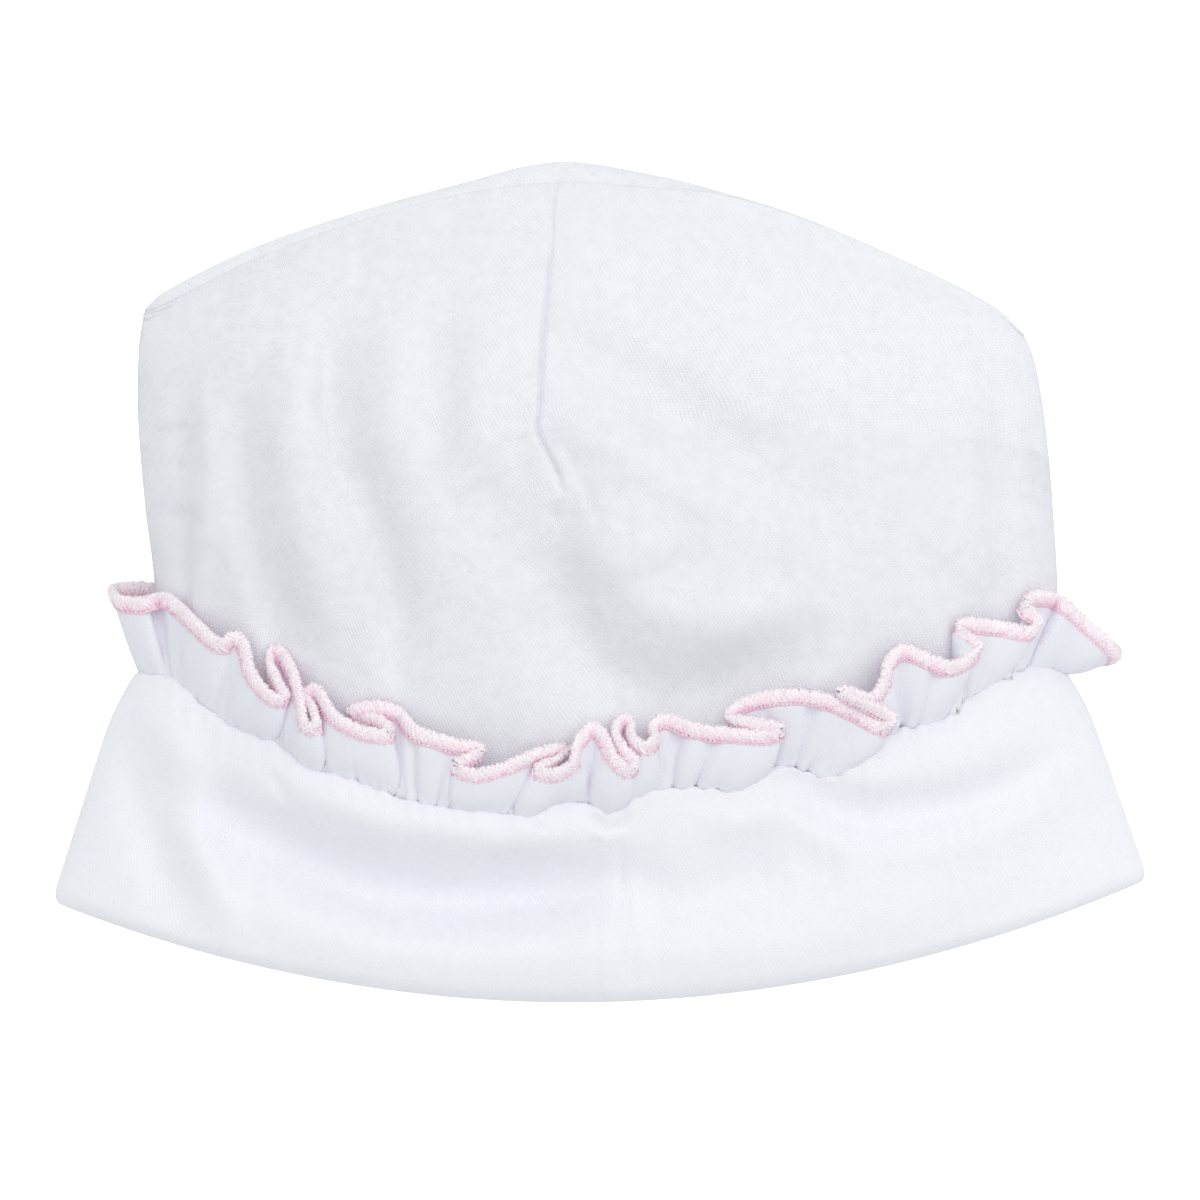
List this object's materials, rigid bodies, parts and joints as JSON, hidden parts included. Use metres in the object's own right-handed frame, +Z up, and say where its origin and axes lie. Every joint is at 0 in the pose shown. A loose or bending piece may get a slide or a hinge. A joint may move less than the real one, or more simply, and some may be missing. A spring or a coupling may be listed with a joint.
{
  "type": "ruffled baby hat",
  "caption": "Soft white knit baby hat lying flat, with a seamed crown, a turned-up flared cuff and a gathered ruffle edged in pink thread.",
  "frame": {"origin": "on the surface that the hat lies on, under the middle of the flat part of the crown's back", "axes": "+Z up from the surface, through the hat's front; +Y from the brim to the top of the crown; +X to the right of the picture, across the hat"},
  "size_m": [0.196, 0.1506, 0.0508],
  "materials": {
    "white_knit": "soft white cotton interlock knit",
    "ruffle_knit": "the same white knit in a single gathered layer",
    "pink_thread": "fluffy pale pink overlock thread"
  },
  "bodies": {
    "root": {"crown_front": "white_knit", "crown_back": "white_knit", "cuff": "white_knit", "ruffle": "ruffle_knit", "ruffle_edging": "pink_thread"}
  },
  "joints": []
}
